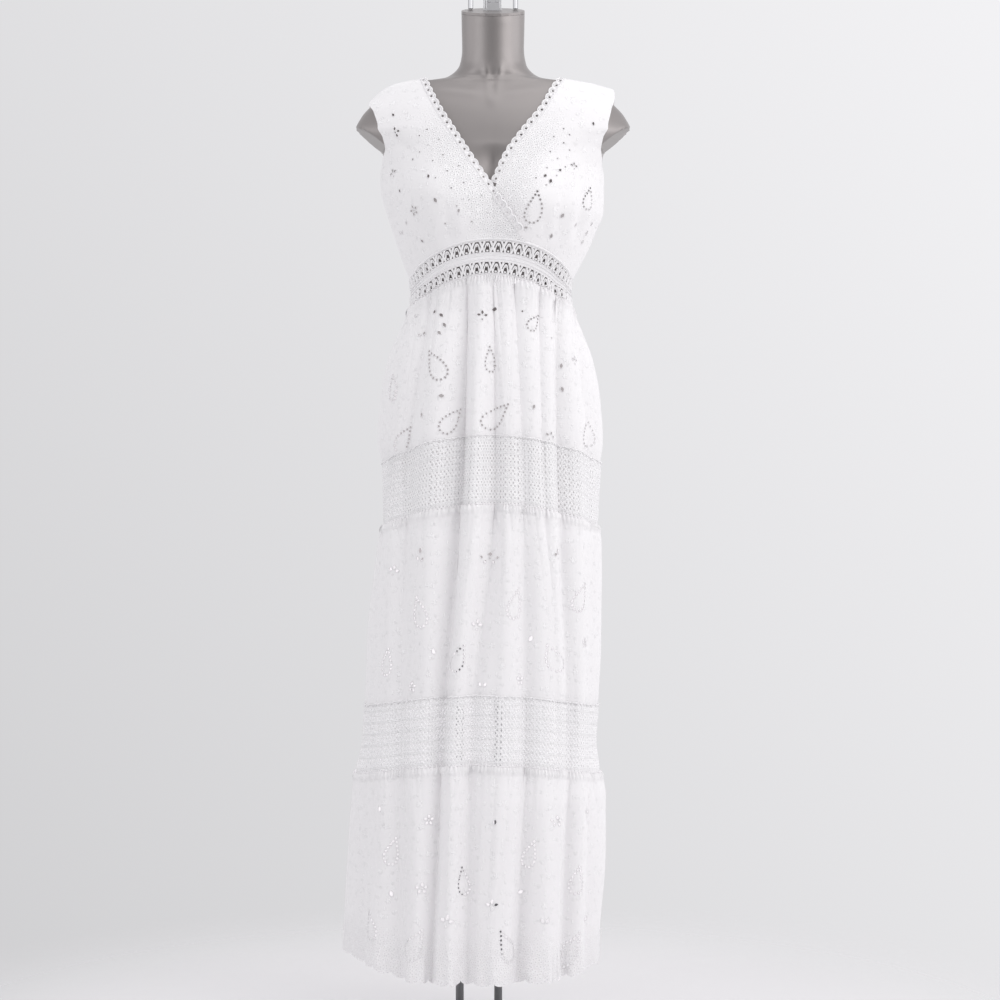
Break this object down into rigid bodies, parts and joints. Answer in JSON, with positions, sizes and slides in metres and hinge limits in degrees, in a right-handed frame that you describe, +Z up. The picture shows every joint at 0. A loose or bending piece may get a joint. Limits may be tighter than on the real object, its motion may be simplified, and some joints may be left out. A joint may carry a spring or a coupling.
{
  "type": "maxi dress on a limbless dress form",
  "caption": "White sleeveless maxi dress of eyelet cotton with a wrapped V-neck, lace waist band and lace bands between gathered tiers, worn by a silver dress form on a round base.",
  "frame": {"origin": "middle of the base plate's underside, halfway between the two posts", "axes": "+Z up along the posts, -Y out of the dress's front, -X to the wearer's right"},
  "size_m": [0.4393, 0.3753, 1.674],
  "materials": {
    "eyelet_cotton": "matt cotton voile with eyelet embroidery",
    "lace": "matt cotton lace",
    "form_paint": "glossy metallic silver lacquer",
    "steel": "polished",
    "dark_metal": "dark grey satin"
  },
  "bodies": {
    "root": {"bodice_right_front": "eyelet_cotton", "bodice_left_front": "eyelet_cotton", "bodice_back": "eyelet_cotton", "neck_edging_right": "lace", "neck_edging_left": "lace", "neck_edging_back": "lace", "waist_band_front": "lace", "waist_band_back": "lace", "tier_1_front": "eyelet_cotton", "tier_1_back": "eyelet_cotton", "lace_band_1": "lace", "tier_2": "eyelet_cotton", "lace_band_2": "lace", "tier_3": "eyelet_cotton", "dress_form": "form_paint", "neck_cap": "form_paint", "neck_bracket": "steel", "neck_handle": "steel", "post_left": "dark_metal", "post_right": "dark_metal", "base": "dark_metal"}
  },
  "joints": []
}
